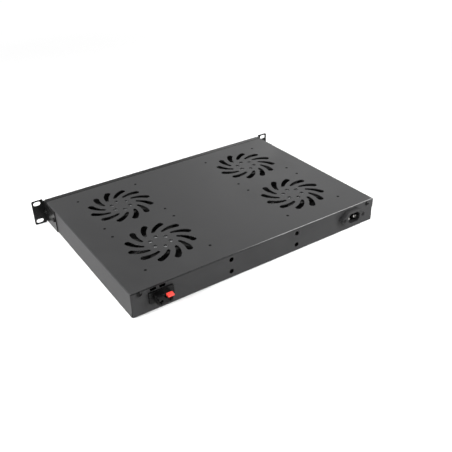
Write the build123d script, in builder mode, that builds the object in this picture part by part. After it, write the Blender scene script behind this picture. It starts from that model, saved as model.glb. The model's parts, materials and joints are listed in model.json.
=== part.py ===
from build123d import *
import os

os.makedirs("parts", exist_ok=True)

# All sizes in millimetres. X runs across the rack, Y from the front to the rear, Z up.
# The origin is the centre of the four rack slots, on the ears' rear faces that seat on the rails.

# Case
body_height = 40.0
body_depth = 318.4
sheet = 1.2
bend_radius = 2.0
seam = 0.3
touch_gap = 0.1
lip_shortfall = 10.0
tongue_reach = 8.0
tongue_inset = 30.0
wall_notch_depth = 2.2
wall_notch_left = 8.4
wall_notch_right = 24.0
air_slot_pitch = 12.0
air_slot_width = 6.0
air_slot_margin = 4.0

# Front panel and rack ears
panel_sheet = 1.5
front_flange = 11.5
panel_width = 482.6
ear_reach = 22.1
ear_height = 43.6
ear_flange_length = 48.5
ear_flange_drop = 1.6
ear_corner_radius = 2.5
relief_width = 1.4
rack_slot_inset = 8.75
rack_slot_pitch_z = 31.75
rack_slot_length = 12.0
rack_slot_width = 7.0
ear_screw_inset = 6.0
ear_screw_pitch = 35.0

# Screws that hold the ears and the cover
screw_radius = 2.0
screw_head_radius = 3.8
screw_head_height = 2.3
screw_crown = 0.9
screw_length = 7.0
fit_gap = 0.05
hole_gap = 0.25
cover_screw_inset = 13.4
cover_screw_drop = 5.5
cover_tab_width = 16.0
cover_tab_drop = 11.0

# Fans
fan_inward_shift = 4.7
fan_front_gap = 35.0
fan_row_gap = 13.3
fan_rear_gap = 30.1
fan_depth = 25.0
fan_corner_radius = 5.0
fan_hole_inset = 7.5
fan_bore_margin = 2.2
fan_wall = 1.8
fan_flange = 4.0
fan_screw_radius = 2.2
fan_screw_recess = 0.6
hub_recess = 1.2
hub_radius = 32.5
hub_disc = 2.6
strut_count = 4
strut_turn = 45.0
strut_width = 6.5
strut_depth = 3.6
label_margin = 1.5
label_sheet = 0.3
bearing_radius = 4.0
bearing_length = 4.0
bearing_inset = 0.6
bearing_shoulder = 0.8
bearing_tube_wall = 1.2
shaft_radius = 1.5
shaft_end_gap = 0.3
hub_overlap = 1.9
rotor_wall = 2.0
rotor_edge = 1.6
rotor_inset = 1.0
rotor_gap = 1.0
rotor_boss_radius = 4.0
rotor_boss_height = 4.0
blade_count = 7
blade_tip_gap = 1.0
blade_thickness = 1.7
blade_root_chord = 22.0
blade_root_pitch = 42.0
blade_tip_chord = 35.0
blade_tip_pitch = 25.0
blade_camber = 0.09
core_gap = 0.6
core_height = 7.0
core_slots = 8
core_slot_width = 3.0
core_slot_depth = 14.0
coil_inner_gap = 4.0
coil_rim = 5.0
coil_height = 2.0
coil_drop = 0.5

# Spiral grille over each fan
slot_count = 12
slot_turn = 2.0
slot_sweep = 23.7
slot_inner_reach = 28.0
slot_bore_margin = 9.8
slot_bulge = 2.1
slot_inner_radius = 2.6
slot_middle_radius = 4.1
slot_outer_radius = 5.0
ring_count = 6
ring_turn = 30.0
ring_reach = 15.0
ring_hole_radius = 3.5

# Accessory holes in the rear wall
rear_hole_pitch_x = 120.0
rear_hole_pitch_z = 20.0
rear_hole_z = 0.8
rear_hole_radius = 3.8

# Probe terminal with two push levers
terminal_inset = 44.7
terminal_z = 2.4
terminal_width = 37.7
terminal_height = 18.2
terminal_plate = 3.0
terminal_corner = 1.5
terminal_margin = 2.2
terminal_back = 9.0
hook_height = 0.9
hook_length = 3.0
block_width = 22.6
block_height = 13.4
block_drop = 1.1
block_reach = 13.0
block_step_reach = 9.7
block_step_drop = 5.6
pole_pitch = 13.9
pocket_start = 4.2
pocket_floor = 3.4
pocket_roof = 1.2
lever_width = 8.7
lever_neck = 6.0
lever_gap = 0.3
lever_room = 0.5
lever_thickness = 3.6
lever_tip_thickness = 2.6
lever_tab_start = 10.2
lever_tab_end = 17.4
lever_tail = 4.9
lever_leg_width = 1.7
lever_leg_floor_gap = 0.7
pivot_reach = 6.2
pivot_drop = 4.0
pivot_radius = 1.2
wire_hole_radius = 1.3
wire_hole_rise = 1.9
contact_sheet = 0.8
contact_width = 5.0
contact_tail = 8.0
latch_shift = 3.7
latch_gap = 0.3
latch_width = 9.4
latch_height = 5.0

# Mains inlet
inlet_inset = 48.7
inlet_z = 3.7
inlet_proud = 8.3
inlet_height = 23.5
inlet_flat = 24.8
inlet_screw_pitch = 39.0
inlet_ear_radius = 4.5
inlet_body_width = 28.0
inlet_body_height = 20.0
inlet_body_depth = 12.0
socket_width = 24.0
socket_height = 16.8
socket_chamfer = 4.6
socket_depth = 16.5
pin_width = 2.0
pin_height = 4.0
pin_pitch = 14.0
pin_stagger = 4.0
earth_pin_setback = 1.3
power_pin_setback = 4.3
pin_tail = 6.5
inlet_screw_radius = 1.5
inlet_screw_head_radius = 3.2
inlet_screw_end = 1.0
inlet_nut_radius = 3.1
inlet_nut_height = 2.4

# Power switch on the front
switch_inset = 34.2
bezel_width = 15.0
bezel_height = 21.0
bezel_depth = 2.0
bezel_rim = 1.2
switch_depth = 16.0
rocker_width = 10.0
rocker_radius = 8.2
rocker_gap = 0.3
rocker_tilt = 11.0
rocker_edge = 5.6
rocker_valley = 3.4
rocker_heel = 1.5
rocker_foot = 3.0
rocker_foot_width = 5.2
rocker_pivot_in = 4.4
rocker_pivot_radius = 1.2
rocker_stub = 0.9
rocker_pocket = 9.6
switch_tab_width = 4.8
switch_tab_sheet = 0.8
switch_tab_length = 8.0
switch_tab_pitch = 9.0

# Thermostat on the front
module_rim_x = 3.2
module_rim_z = 2.95
module_flange = 3.5
module_body_width = 70.6
module_body_height = 28.6
module_depth = 52.0
module_wall = 1.5
module_face = 2.0
module_corner = 2.0
window_side_gap = 5.8
window_key_gap = 12.0
window_end_gap = 6.3
window_rim = 1.2
window_sheet = 1.2
window_inset = 0.2
display_gap = 0.5
key_inset = 11.8
key_end_gap = 4.8
key_spacing = 1.0
key_gap = 0.3
key_proud = 1.2
key_collar_width = 0.7
key_collar = 0.8
key_stem_radius = 1.2
key_stem = 2.0
key_room = 0.9
key_switch_gap = 2.0
key_switch_height = 3.5
board_sheet = 1.6
post_radius = 1.6
post_inset = 2.8
clip_length = 12.0
clip_thickness = 2.0
clip_height = 10.0
connector_end_gap = 10.3
connector_height = 10.0
connector_depth = 9.0
connector_ways = 6
connector_way_radius = 2.0
connector_way_depth = 5.0

# Places worked out from the sizes
body_width = panel_width - 2 * ear_reach
front_y = -panel_sheet
rear_y = front_y + body_depth
rear_inner_y = rear_y - sheet
top_z = body_height / 2
roof_z = top_z - sheet
side_x = body_width / 2
cover_front_y = front_y + front_flange + seam
tongue_z = top_z - panel_sheet - touch_gap
tongue_width = body_width - 2 * tongue_inset
lip_height = body_height - lip_shortfall
rack_slot_pitch_x = panel_width - 2 * rack_slot_inset
cover_screw_x = side_x - cover_screw_inset
cover_screw_z = top_z - cover_screw_drop
pan_side_x = side_x - sheet - touch_gap
fan_size = (body_depth - fan_front_gap - fan_row_gap - fan_rear_gap) / 2
fan_hole_pitch = fan_size - 2 * fan_hole_inset
fan_bore_radius = fan_size / 2 - fan_bore_margin
slot_outer_reach = fan_bore_radius - slot_bore_margin
air_slot_reach = fan_size / 2 - air_slot_margin
air_slot_count = 2 * int((air_slot_reach - air_slot_width) / air_slot_pitch) + 1
fan_bottom_z = roof_z - fan_depth
hub_top_z = roof_z - hub_recess
hub_under_z = hub_top_z - hub_disc
rotor_radius = hub_radius - hub_overlap
core_radius = rotor_radius - rotor_wall - core_gap
rotor_bottom_z = fan_bottom_z + rotor_inset
rotor_floor_z = rotor_bottom_z + rotor_wall
rotor_top_z = hub_under_z - rotor_gap
tube_radius = bearing_radius + fit_gap + bearing_tube_wall
tube_end_z = rotor_floor_z + rotor_boss_height + rotor_gap
bearing_pocket = bearing_length + bearing_inset
terminal_x = side_x - terminal_inset
latch_x = terminal_x + latch_shift
latch_z = terminal_z + (terminal_height + latch_height) / 2 + latch_gap
block_z = terminal_z - block_drop
block_top_z = block_z + block_height / 2
block_floor_z = block_z - block_height / 2
pocket_z = block_floor_z + pocket_floor
pocket_top_z = block_top_z - pocket_roof
pivot_y = rear_y + pivot_reach
pivot_z = block_top_z - pivot_drop
wire_z = block_floor_z + wire_hole_rise
inlet_x = inlet_inset - side_x
inlet_face_y = rear_y + inlet_proud
switch_x = switch_inset - side_x
rocker_pivot_y = front_y - bezel_depth + rocker_pivot_in
module_width = module_body_width + 2 * module_rim_x
module_height = module_body_height + 2 * module_rim_z
module_inner_x = module_body_width / 2 - module_wall
key_x = module_inner_x - key_inset
key_pitch = module_body_height / 2 - module_wall - key_end_gap
key_radius = (key_pitch - key_spacing) / 2 - key_collar_width
key_switch_size = key_pitch - key_switch_gap
window_left = window_side_gap - module_inner_x
window_width = key_x - window_key_gap - window_left
window_height = module_body_height - 2 * window_end_gap
window_x = window_left + window_width / 2
connector_width = module_body_width - 2 * connector_end_gap
module_front_y = front_y - module_flange
module_inner_y = module_front_y + module_face
module_rear_y = front_y + module_depth
key_switch_y = module_inner_y + touch_gap + key_collar + key_stem + key_room
board_y = key_switch_y + key_switch_height
ear_screw_y = front_y + ear_screw_inset
wall_screw_y = ear_screw_y + ear_screw_pitch
pole_places = [(terminal_x - pole_pitch / 2, 0), (terminal_x + pole_pitch / 2, 0)]
cover_screw_places = [(-cover_screw_x, cover_screw_z), (cover_screw_x, cover_screw_z)]
fan_column_x = (side_x + module_width / 2) / 2 - fan_inward_shift
fan_row_front = front_y + fan_front_gap + fan_size / 2
fan_row_rear = rear_y - fan_rear_gap - fan_size / 2
fan_centres = []
for row_y in (fan_row_front, fan_row_rear):
    for column_x in (-fan_column_x, fan_column_x):
        fan_centres.append((column_x, row_y))


# A plane facing the front at y, where local x is +X and local y is +Z
def upright(y):
    return Plane((0, y, 0), x_dir=(1, 0, 0), z_dir=(0, -1, 0))


# A plane facing +X, where local x is +Y and local y is +Z, both turned by the tilt in degrees
def side_on(x, y=0, z=0, tilt=0):
    return Plane((x, y, z), x_dir=Vector(0, 1, 0).rotate(Axis.X, tilt), z_dir=(1, 0, 0))


# A plane facing the rear at the given point
def rearward(x, y, z):
    return Plane((x, y, z), x_dir=(-1, 0, 0), z_dir=(0, 1, 0))


def save(piece, name):
    piece.part.label = name
    export_step(piece.part, f"parts/{name}.step")


# One copy of a fan's piece at each fan's centre
def save_for_fans(piece, name):
    for number, centre in enumerate(fan_centres, start=1):
        with BuildPart() as copy:
            with Locations(centre):
                add(piece.part)
        save(copy, f"{name}_{number}")


# One slot of the grille: a crescent that widens and curls outwards
def swirl_slot():
    inner = Vector(slot_inner_reach, 0).rotate(Axis.Z, slot_sweep)
    outer = Vector(slot_outer_reach, 0)
    along = (outer - inner).normalized()
    across = along.rotate(Axis.Z, 90)
    middle = (inner + outer) / 2 + across * slot_bulge
    inner_side = (middle - inner).normalized().rotate(Axis.Z, 90) * slot_inner_radius
    outer_side = (outer - middle).normalized().rotate(Axis.Z, 90) * slot_outer_radius
    middle_side = across * slot_middle_radius
    inner_tip = inner - (middle - inner).normalized() * slot_inner_radius
    outer_tip = outer + (outer - middle).normalized() * slot_outer_radius
    with BuildSketch() as slot:
        with BuildLine():
            ThreePointArc(inner + inner_side, middle + middle_side, outer + outer_side)
            ThreePointArc(outer + outer_side, outer_tip, outer - outer_side)
            ThreePointArc(outer - outer_side, middle - middle_side, inner - inner_side)
            ThreePointArc(inner - inner_side, inner_tip, inner + inner_side)
        make_face()
    return slot.sketch


# Spiral grille: curled slots round a ring of holes, and the fan's four screw holes
def swirl_grille():
    slot = swirl_slot()
    with BuildSketch() as grille:
        with PolarLocations(0, slot_count, start_angle=slot_turn):
            add(slot)
        with PolarLocations(ring_reach, ring_count, start_angle=ring_turn):
            Circle(ring_hole_radius)
        with GridLocations(fan_hole_pitch, fan_hole_pitch, 2, 2):
            Circle(fan_screw_radius + fit_gap)
    return grille.sketch


# Air inlets under a fan: punched straight slots that follow its round bore
def air_slots():
    with BuildSketch() as slots:
        for number in range(air_slot_count):
            offset_y = (number - (air_slot_count - 1) / 2) * air_slot_pitch
            reach = (air_slot_reach**2 - offset_y**2) ** 0.5
            with Locations((0, offset_y)):
                Rectangle(2 * reach, air_slot_width)
    return slots.sketch


# Top cover: the top and both side walls, bent from one sheet
def make_top_cover():
    grille = swirl_grille()
    with BuildPart() as cover:
        with BuildSketch(upright(cover_front_y)):
            Rectangle(body_width, body_height)
        extrude(amount=cover_front_y - rear_y)
        fillet(cover.edges().filter_by(Axis.Y).group_by(Axis.Z)[-1], bend_radius)
        ends = cover.faces().filter_by(Axis.Y)
        offset(amount=-sheet, openings=ends + cover.faces().sort_by(Axis.Z)[:1])
        with BuildSketch(Plane.XY.offset(top_z)):
            with Locations(*fan_centres):
                add(grille)
        extrude(amount=-2 * sheet, mode=Mode.SUBTRACT)
        # Joggled tongue that slips under the front panel's top flange
        with BuildSketch(upright(cover_front_y)):
            with Locations((0, tongue_z - sheet)):
                Rectangle(tongue_width, roof_z - tongue_z + sheet, align=(Align.CENTER, Align.MIN))
        extrude(amount=-2 * sheet)
        with BuildSketch(upright(cover_front_y)):
            with Locations((0, tongue_z - sheet)):
                Rectangle(tongue_width, sheet, align=(Align.CENTER, Align.MIN))
        extrude(amount=tongue_reach)
        # Tapped tabs behind the rear wall for the cover screws
        with BuildSketch(upright(rear_inner_y - touch_gap)):
            with Locations((-cover_screw_x, roof_z), (cover_screw_x, roof_z)):
                Rectangle(cover_tab_width, cover_tab_drop, align=(Align.CENTER, Align.MAX))
            with Locations(*cover_screw_places):
                Circle(screw_radius + fit_gap, mode=Mode.SUBTRACT)
        extrude(amount=sheet)
        # Holes behind the ears' side flanges
        with BuildSketch(side_on(0)):
            with Locations((wall_screw_y, 0)):
                Circle(screw_radius + hole_gap)
        extrude(amount=side_x, both=True, mode=Mode.SUBTRACT)
        # Relief at the rear bottom corner of each side wall
        for side, height in ((1, wall_notch_left), (-1, wall_notch_right)):
            with BuildSketch(side_on(side * side_x)):
                with Locations((rear_y, -top_z)):
                    Rectangle(wall_notch_depth, height, align=(Align.MAX, Align.MIN))
            extrude(amount=-side * 2 * sheet, mode=Mode.SUBTRACT)
    save(cover, "top_cover")


# Openings in the rear wall
def rear_openings():
    with BuildSketch() as openings:
        with Locations((0, rear_hole_z)):
            with GridLocations(rear_hole_pitch_x, rear_hole_pitch_z, 2, 2):
                Circle(rear_hole_radius)
        with Locations(*cover_screw_places):
            Circle(screw_radius + hole_gap)
        with Locations((terminal_x, terminal_z)):
            cut_width = terminal_width - 2 * terminal_margin + 2 * touch_gap
            cut_height = terminal_height - 2 * terminal_margin + 2 * touch_gap
            Rectangle(cut_width, cut_height)
        with Locations((latch_x, latch_z)):
            with GridLocations(pole_pitch, 1, 2, 1):
                Rectangle(latch_width, latch_height)
        with Locations((inlet_x, inlet_z)):
            Rectangle(inlet_body_width + 2 * touch_gap, inlet_body_height + 2 * touch_gap)
            with GridLocations(inlet_screw_pitch, 1, 2, 1):
                Circle(inlet_screw_radius + hole_gap)
    return openings.sketch


# Base pan: bottom, rear wall and two side lips, bent from one sheet
def make_base_pan():
    slots = air_slots()
    openings = rear_openings()
    with BuildPart() as pan:
        with BuildSketch(Plane.XY.offset(-top_z)):
            with Locations((0, cover_front_y)):
                Rectangle(2 * pan_side_x, rear_y - cover_front_y, align=(Align.CENTER, Align.MIN))
            with Locations(*fan_centres):
                add(slots, mode=Mode.SUBTRACT)
        extrude(amount=sheet)
        with BuildSketch(upright(rear_y)) as wall:
            with Locations((0, -top_z)):
                wall_height = top_z + roof_z - seam
                Rectangle(2 * pan_side_x, wall_height, align=(Align.CENTER, Align.MIN))
            fillet(wall.vertices().group_by(Axis.Z)[-1], bend_radius - sheet)
            add(openings, mode=Mode.SUBTRACT)
        extrude(amount=sheet)
        fillet(pan.edges().filter_by(Axis.X).group_by(Axis.Z)[0].sort_by(Axis.Y)[-1], sheet)
        for side in (-1, 1):
            with BuildSketch(side_on(side * pan_side_x)):
                with Locations((cover_front_y, -top_z)):
                    lip_length = rear_inner_y - sheet - cover_front_y
                    Rectangle(lip_length, lip_height, align=(Align.MIN, Align.MIN))
                with Locations((wall_screw_y, 0)):
                    Circle(screw_radius + fit_gap, mode=Mode.SUBTRACT)
            extrude(amount=-side * sheet)
        # Joggled tongue that lies on the front panel's bottom flange
        with BuildSketch(upright(cover_front_y)):
            with Locations((0, -roof_z)):
                Rectangle(tongue_width, roof_z - tongue_z + sheet, align=(Align.CENTER, Align.MIN))
        extrude(amount=-2 * sheet)
        with BuildSketch(upright(cover_front_y)):
            with Locations((0, -tongue_z)):
                Rectangle(tongue_width, sheet, align=(Align.CENTER, Align.MIN))
        extrude(amount=tongue_reach)
    save(pan, "base_pan")


# Front panel: a shallow pan, open at the back, with the two cut-outs
def make_front_panel():
    with BuildPart() as panel:
        with BuildSketch(upright(front_y)):
            Rectangle(body_width - 2 * touch_gap, body_height)
        extrude(amount=-front_flange)
        fillet(panel.faces().sort_by(Axis.Y)[0].edges(), bend_radius)
        offset(amount=-panel_sheet, openings=panel.faces().sort_by(Axis.Y)[-1])
        with BuildSketch(upright(front_y)):
            with Locations((switch_x, 0)):
                cut_width = bezel_width - 2 * bezel_rim + 2 * touch_gap
                cut_height = bezel_height - 2 * bezel_rim + 2 * touch_gap
                Rectangle(cut_width, cut_height)
            Rectangle(module_body_width + 2 * touch_gap, module_body_height + 2 * touch_gap)
        extrude(amount=-2 * panel_sheet, mode=Mode.SUBTRACT)
        with BuildSketch(side_on(0)):
            with Locations((ear_screw_y, 0)):
                Circle(screw_radius + fit_gap)
        extrude(amount=side_x, both=True, mode=Mode.SUBTRACT)
    save(panel, "front_panel")


# Rack ear: a bent bracket with two slots and a relief at each end of its bend
def make_ear(side, name):
    bend_width = panel_sheet + relief_width
    outer_width = panel_width / 2 - side_x - bend_width
    flange_top = top_z - ear_flange_drop
    with BuildPart() as ear:
        with BuildSketch(upright(front_y)) as face:
            with Locations((side * (side_x + bend_width + outer_width / 2), 0)):
                Rectangle(outer_width, ear_height)
            fillet(face.vertices().group_by(Axis.X)[-1 if side > 0 else 0], ear_corner_radius)
            with Locations((side * (side_x + bend_width / 2), -top_z)):
                Rectangle(bend_width, flange_top + top_z, align=(Align.CENTER, Align.MIN))
            with Locations((side * rack_slot_pitch_x / 2, 0)):
                with GridLocations(1, rack_slot_pitch_z, 1, 2):
                    SlotOverall(rack_slot_length, rack_slot_width, mode=Mode.SUBTRACT)
        extrude(amount=-panel_sheet)
        with BuildSketch(side_on(side * side_x)):
            with Locations((front_y, -top_z)):
                Rectangle(ear_flange_length, flange_top + top_z, align=(Align.MIN, Align.MIN))
            with Locations((ear_screw_y, 0), (wall_screw_y, 0)):
                Circle(screw_radius + hole_gap, mode=Mode.SUBTRACT)
        extrude(amount=side * panel_sheet)
        bend = ear.edges().filter_by(Axis.Z).group_by(Axis.Y)[0].sort_by(Axis.X)
        fillet(bend[0 if side > 0 else -1], panel_sheet)
    save(ear, name)


# Cylinder head screw: the head stands on the plane of z = 0 and the shank goes down
def cylinder_screw(radius, length):
    with BuildPart() as screw:
        with BuildSketch():
            Circle(screw_head_radius)
        extrude(amount=screw_head_height)
        with BuildSketch():
            Circle(radius)
        extrude(amount=-length)
    return screw.part


# Pan head screws: the same with the edge of the head cut to a crown
def make_case_screws():
    with BuildPart() as pan_screw:
        add(cylinder_screw(screw_radius, screw_length))
        chamfer(pan_screw.edges().group_by(Axis.Z)[-1], screw_crown)
    for side, name in ((-1, "ear_screws_left"), (1, "ear_screws_right")):
        with BuildPart() as ear_screws:
            head_x = side * (side_x + panel_sheet)
            for screw_y in (ear_screw_y, wall_screw_y):
                with Locations(Plane((head_x, screw_y, 0), z_dir=(side, 0, 0))):
                    add(pan_screw.part)
        save(ear_screws, name)
    with BuildPart() as cover_screws:
        for screw_x, screw_z in cover_screw_places:
            with Locations(rearward(screw_x, rear_y, screw_z)):
                add(pan_screw.part)
    save(cover_screws, "rear_cover_screws")


# Fan screws: their heads bear on the frames from below, their tips sit in the cover
def make_fan_screws():
    screw = cylinder_screw(fan_screw_radius, fan_depth + sheet - fan_screw_recess)
    with BuildPart() as fan_screws:
        with Locations(*fan_centres):
            with GridLocations(fan_hole_pitch, fan_hole_pitch, 2, 2):
                with Locations(Location((0, 0, fan_bottom_z), (180, 0, 0))):
                    add(screw)
    save(fan_screws, "fan_screws")


# Fan frame: flanged square with a round bore, struts, hub disc and bearing tube
def make_fan_frames():
    strut_start = hub_radius - strut_width / 2
    strut_end = fan_bore_radius + fan_wall / 2
    with BuildPart() as frame:
        with BuildSketch(Plane.XY.offset(fan_bottom_z)):
            RectangleRounded(fan_size, fan_size, fan_corner_radius)
            Circle(fan_bore_radius, mode=Mode.SUBTRACT)
            with GridLocations(fan_hole_pitch, fan_hole_pitch, 2, 2):
                Circle(fan_screw_radius + hole_gap, mode=Mode.SUBTRACT)
        extrude(amount=fan_depth)
        with BuildSketch(Plane.XY.offset(fan_bottom_z + fan_flange)):
            Rectangle(fan_size, fan_size)
            Circle(fan_bore_radius + fan_wall, mode=Mode.SUBTRACT)
        extrude(amount=fan_depth - 2 * fan_flange, mode=Mode.SUBTRACT)
        with BuildSketch(Plane.XY.offset(hub_top_z)):
            Circle(hub_radius)
        extrude(amount=-hub_disc)
        with BuildSketch(Plane.XY.offset(hub_top_z)):
            with PolarLocations((strut_start + strut_end) / 2, strut_count, start_angle=strut_turn):
                Rectangle(strut_end - strut_start, strut_width)
        extrude(amount=-strut_depth)
        with BuildSketch(Plane.XY.offset(hub_under_z)):
            Circle(tube_radius)
        extrude(amount=tube_end_z - hub_under_z)
        # A pocket for a bearing at each end of the tube, with a shoulder between
        with BuildSketch(Plane.XY.offset(hub_top_z)):
            Circle(bearing_radius - bearing_shoulder)
        extrude(amount=tube_end_z - hub_top_z, mode=Mode.SUBTRACT)
        with BuildSketch(Plane.XY.offset(hub_top_z)):
            Circle(bearing_radius + fit_gap)
        extrude(amount=-bearing_pocket, mode=Mode.SUBTRACT)
        with BuildSketch(Plane.XY.offset(tube_end_z)):
            Circle(bearing_radius + fit_gap)
        extrude(amount=bearing_pocket, mode=Mode.SUBTRACT)
    save_for_fans(frame, "fan_frame")


def make_fan_labels():
    with BuildPart() as label:
        with BuildSketch(Plane.XY.offset(hub_top_z)):
            Circle(hub_radius - label_margin)
        extrude(amount=label_sheet)
    save_for_fans(label, "fan_label")


def make_fan_bearings():
    with BuildPart() as bearings:
        for low_z in (tube_end_z + bearing_inset, hub_top_z - bearing_pocket):
            with BuildSketch(Plane.XY.offset(low_z)):
                Circle(bearing_radius)
                Circle(shaft_radius + fit_gap, mode=Mode.SUBTRACT)
            extrude(amount=bearing_length)
    save_for_fans(bearings, "fan_bearings")


# Stator: slotted core on the bearing tube, with a ring of windings through its slots
def make_fan_stators():
    coil_top_z = hub_under_z - coil_drop
    with BuildPart() as stator:
        with BuildSketch(Plane.XY.offset(coil_top_z - coil_height)):
            Circle(core_radius)
            Circle(tube_radius + fit_gap, mode=Mode.SUBTRACT)
            with PolarLocations(core_radius, core_slots):
                Rectangle(2 * core_slot_depth, core_slot_width, mode=Mode.SUBTRACT)
        extrude(amount=-core_height)
        with BuildSketch(Plane.XY.offset(coil_top_z)):
            Circle(core_radius - coil_rim)
            Circle(tube_radius + coil_inner_gap, mode=Mode.SUBTRACT)
        extrude(amount=-core_height - 2 * coil_height)
    save_for_fans(stator, "fan_stator")


def make_fan_shafts():
    with BuildPart() as shaft:
        shaft_low_z = rotor_bottom_z + rotor_wall / 2
        with BuildSketch(Plane.XY.offset(shaft_low_z)):
            Circle(shaft_radius)
        extrude(amount=hub_top_z - shaft_end_gap - shaft_low_z)
    save_for_fans(shaft, "fan_shaft")


# One blade: crescent sections lofted outwards as the chord grows and the pitch eases
def make_blade():
    middle_z = (rotor_bottom_z + rotor_top_z) / 2
    sections = (
        (rotor_radius - rotor_wall, blade_root_chord, blade_root_pitch),
        (fan_bore_radius, blade_tip_chord, blade_tip_pitch),
    )
    with BuildPart() as blade:
        for reach, chord, pitch in sections:
            with BuildSketch(side_on(reach, 0, middle_z, pitch)):
                with BuildLine():
                    rise = chord * blade_camber
                    ThreePointArc((-chord / 2, 0), (0, rise + blade_thickness / 2), (chord / 2, 0))
                    ThreePointArc((chord / 2, 0), (0, rise - blade_thickness / 2), (-chord / 2, 0))
                make_face()
        loft()
        with BuildSketch(Plane.XY.offset(rotor_bottom_z)):
            Circle(fan_bore_radius - blade_tip_gap)
            Circle(rotor_radius - rotor_wall / 2, mode=Mode.SUBTRACT)
        extrude(amount=rotor_top_z - rotor_bottom_z, mode=Mode.INTERSECT)
    return blade.part


# Rotor: an open cup over the stator, with its blades and the boss that grips the shaft
def make_fan_rotors():
    blade = make_blade()
    bore = shaft_radius + fit_gap
    bore_floor_z = rotor_bottom_z + rotor_wall / 2
    boss_top_z = rotor_floor_z + rotor_boss_height
    inner_radius = rotor_radius - rotor_wall
    with BuildPart() as rotor:
        with BuildSketch(Plane.XZ) as profile:
            with BuildLine():
                Polyline(
                    (0, rotor_bottom_z),
                    (rotor_radius, rotor_bottom_z),
                    (rotor_radius, rotor_top_z),
                    (inner_radius, rotor_top_z),
                    (inner_radius, rotor_floor_z),
                    (rotor_boss_radius, rotor_floor_z),
                    (rotor_boss_radius, boss_top_z),
                    (bore, boss_top_z),
                    (bore, bore_floor_z),
                    (0, bore_floor_z),
                    close=True,
                )
            make_face()
            chamfer(profile.vertices().group_by(Axis.Y)[0].sort_by(Axis.X)[-1], rotor_edge)
        revolve(axis=Axis.Z)
        with PolarLocations(0, blade_count):
            add(blade)
    save_for_fans(rotor, "fan_rotor")


# Probe terminal's body: plate on the wall, block with two pockets, snap-in back
def make_terminal_body():
    back_width = terminal_width - 2 * terminal_margin
    back_height = terminal_height - 2 * terminal_margin
    with BuildPart() as body:
        with BuildSketch(upright(rear_y)):
            with Locations((terminal_x, terminal_z)):
                RectangleRounded(terminal_width, terminal_height, terminal_corner)
        extrude(amount=-terminal_plate)
        with BuildSketch(upright(rear_y)):
            with Locations((terminal_x, block_z)):
                Rectangle(block_width, block_height)
        extrude(amount=-block_reach)
        with BuildSketch(upright(rear_y + block_step_reach)):
            with Locations((terminal_x, block_top_z)):
                Rectangle(block_width, block_step_drop, align=(Align.CENTER, Align.MAX))
        extrude(amount=block_step_reach - block_reach, mode=Mode.SUBTRACT)
        with BuildSketch(upright(rear_y)):
            with Locations((terminal_x, terminal_z)):
                Rectangle(back_width, back_height)
        extrude(amount=sheet + terminal_back)
        # Hooks above and below that snap behind the wall
        with BuildSketch(upright(rear_inner_y - touch_gap)):
            with Locations((terminal_x, terminal_z)):
                Rectangle(back_width / 2, back_height + 2 * hook_height)
        extrude(amount=hook_length)
        # Pockets for the levers, slots for the contacts, and wire holes
        with BuildSketch(upright(rear_y + pocket_start)):
            with Locations(*pole_places):
                with Locations((0, pocket_z)):
                    pocket_width = lever_neck + 2 * lever_gap
                    Rectangle(pocket_width, pocket_top_z - pocket_z, align=(Align.CENTER, Align.MIN))
        extrude(amount=pocket_start - block_reach, mode=Mode.SUBTRACT)
        with BuildSketch(upright(rear_y + pocket_start)):
            with Locations(*pole_places):
                with Locations((0, pocket_z)):
                    slot_height = contact_sheet + touch_gap
                    Rectangle(contact_width + touch_gap, slot_height, align=(Align.CENTER, Align.MIN))
        extrude(amount=pocket_start + sheet + terminal_back, mode=Mode.SUBTRACT)
        with BuildSketch(upright(rear_y + block_reach)):
            with Locations(*pole_places):
                with Locations((0, wire_z)):
                    Circle(wire_hole_radius)
        extrude(amount=block_reach - pocket_start, mode=Mode.SUBTRACT)
        with BuildSketch(side_on(terminal_x)):
            with Locations((pivot_y, pivot_z)):
                Circle(pivot_radius + fit_gap)
        extrude(amount=block_width / 2, both=True, mode=Mode.SUBTRACT)
    save(body, "terminal_body")


# Push lever: a finger tab, a neck on its pivot, and a leg down to the contact
def make_lever(pole, name):
    lever_x = pole_places[pole][0]
    leg_low = pocket_z + contact_sheet + lever_leg_floor_gap
    neck_low = pivot_z - pivot_radius
    neck_top = pocket_top_z - lever_room
    with BuildPart() as lever:
        with BuildSketch(side_on(lever_x, rear_y)):
            with BuildLine():
                Polyline(
                    (lever_tail, neck_low),
                    (pivot_reach - lever_leg_width / 2, leg_low),
                    (pivot_reach + lever_leg_width / 2, leg_low),
                    (pivot_reach + lever_leg_width, neck_low),
                    (lever_tab_start, block_top_z - lever_thickness),
                    (lever_tab_start, neck_top),
                    (lever_tail, neck_top),
                    close=True,
                )
            make_face()
        extrude(amount=lever_neck / 2, both=True)
        with BuildSketch(side_on(lever_x, rear_y)):
            with BuildLine():
                Polyline(
                    (lever_tab_start, block_top_z - lever_thickness),
                    (lever_tab_end, block_top_z - lever_tip_thickness),
                    (lever_tab_end, block_top_z),
                    (lever_tab_start, block_top_z),
                    close=True,
                )
            make_face()
        extrude(amount=lever_width / 2, both=True)
        with BuildSketch(side_on(lever_x)):
            with Locations((pivot_y, pivot_z)):
                Circle(pivot_radius)
        extrude(amount=(block_width - pole_pitch) / 2, both=True)
    save(lever, name)


# Contacts: a strip in each pocket's floor that runs back to a solder tail
def make_terminal_contacts():
    with BuildPart() as contacts:
        with BuildSketch(upright(rear_y + block_step_reach)):
            with Locations(*pole_places):
                with Locations((0, pocket_z)):
                    Rectangle(contact_width, contact_sheet, align=(Align.CENTER, Align.MIN))
        extrude(amount=block_step_reach + sheet + terminal_back + contact_tail)
    save(contacts, "terminal_contacts")


# The inlet's earth pin as seen from the rear, and the two power pins below it
def earth_pin(margin):
    with BuildSketch() as section:
        with Locations((inlet_x, inlet_z + pin_stagger / 2)):
            Rectangle(pin_width + margin, pin_height + margin)
    return section.sketch


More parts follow.
